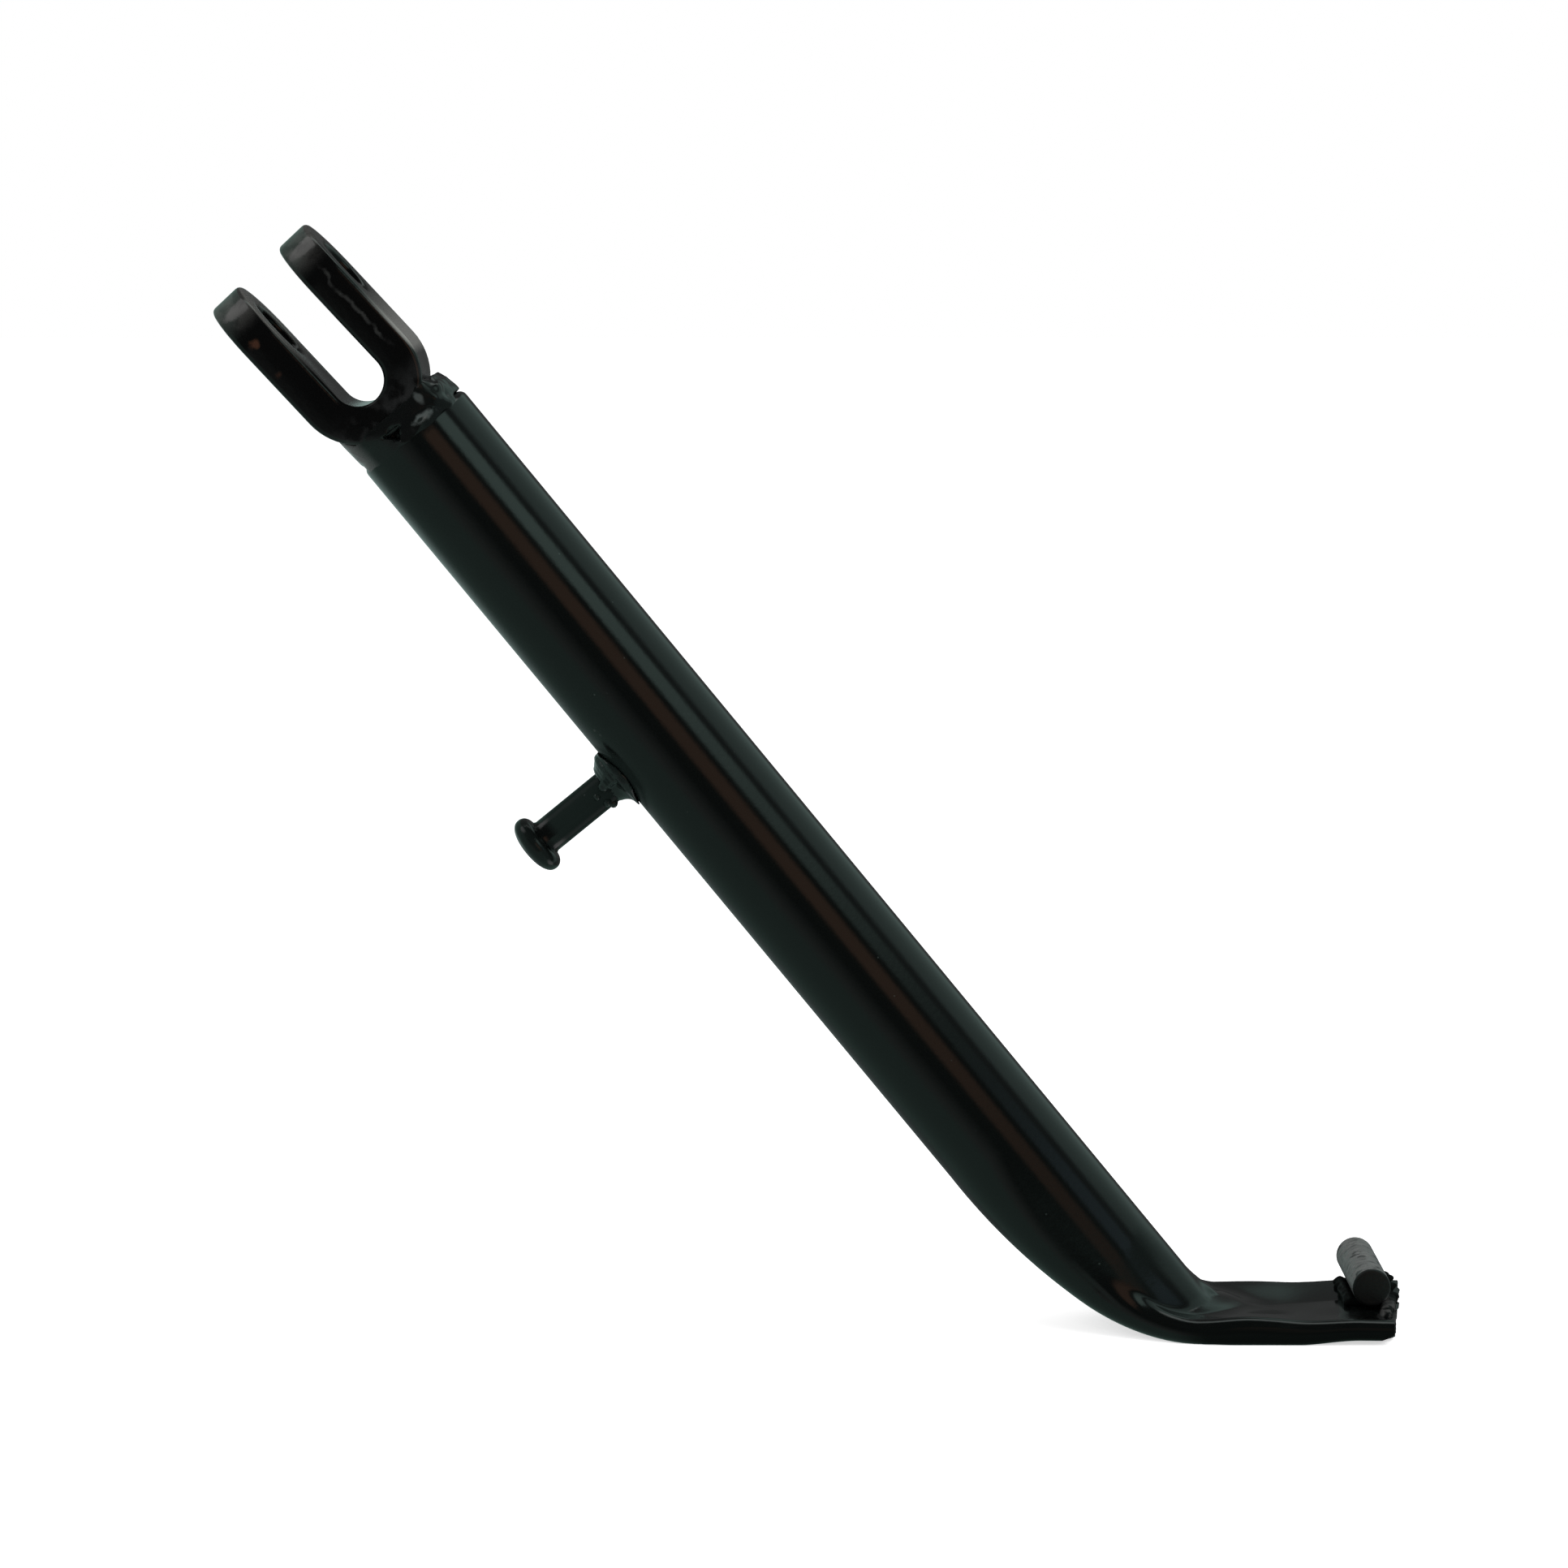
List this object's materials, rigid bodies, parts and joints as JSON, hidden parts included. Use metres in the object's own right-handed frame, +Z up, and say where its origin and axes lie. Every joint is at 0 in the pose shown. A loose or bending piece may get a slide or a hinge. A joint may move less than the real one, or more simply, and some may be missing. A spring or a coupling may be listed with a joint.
{
  "type": "motorcycle side stand",
  "caption": "Gloss black welded motorcycle side stand: a bent flat-bar fork with a pivot bore, a round tube leg pressed into a flat foot, a spring peg and a toe bar.",
  "frame": {"origin": "centre of the pivot bore, midway between the two ears of the fork", "axes": "+X out from the machine towards the foot, +Y along the machine towards the far end of the toe bar, +Z up with the foot flat on the ground"},
  "size_m": [0.2656, 0.0453, 0.2461],
  "materials": {
    "gloss_paint": "gloss",
    "satin_paint": "satin",
    "worn_paint": "satin",
    "weld_paint": "gloss"
  },
  "bodies": {
    "root": {"leg_tube": "gloss_paint", "pivot_fork": "satin_paint", "spring_peg": "gloss_paint", "toe_bar": "worn_paint", "fork_weld_left": "weld_paint", "fork_weld_right": "weld_paint", "fork_weld_front": "weld_paint", "fork_weld_rear": "weld_paint", "spring_peg_weld": "weld_paint", "toe_bar_weld_inner": "weld_paint", "toe_bar_weld_outer": "weld_paint"}
  },
  "joints": []
}
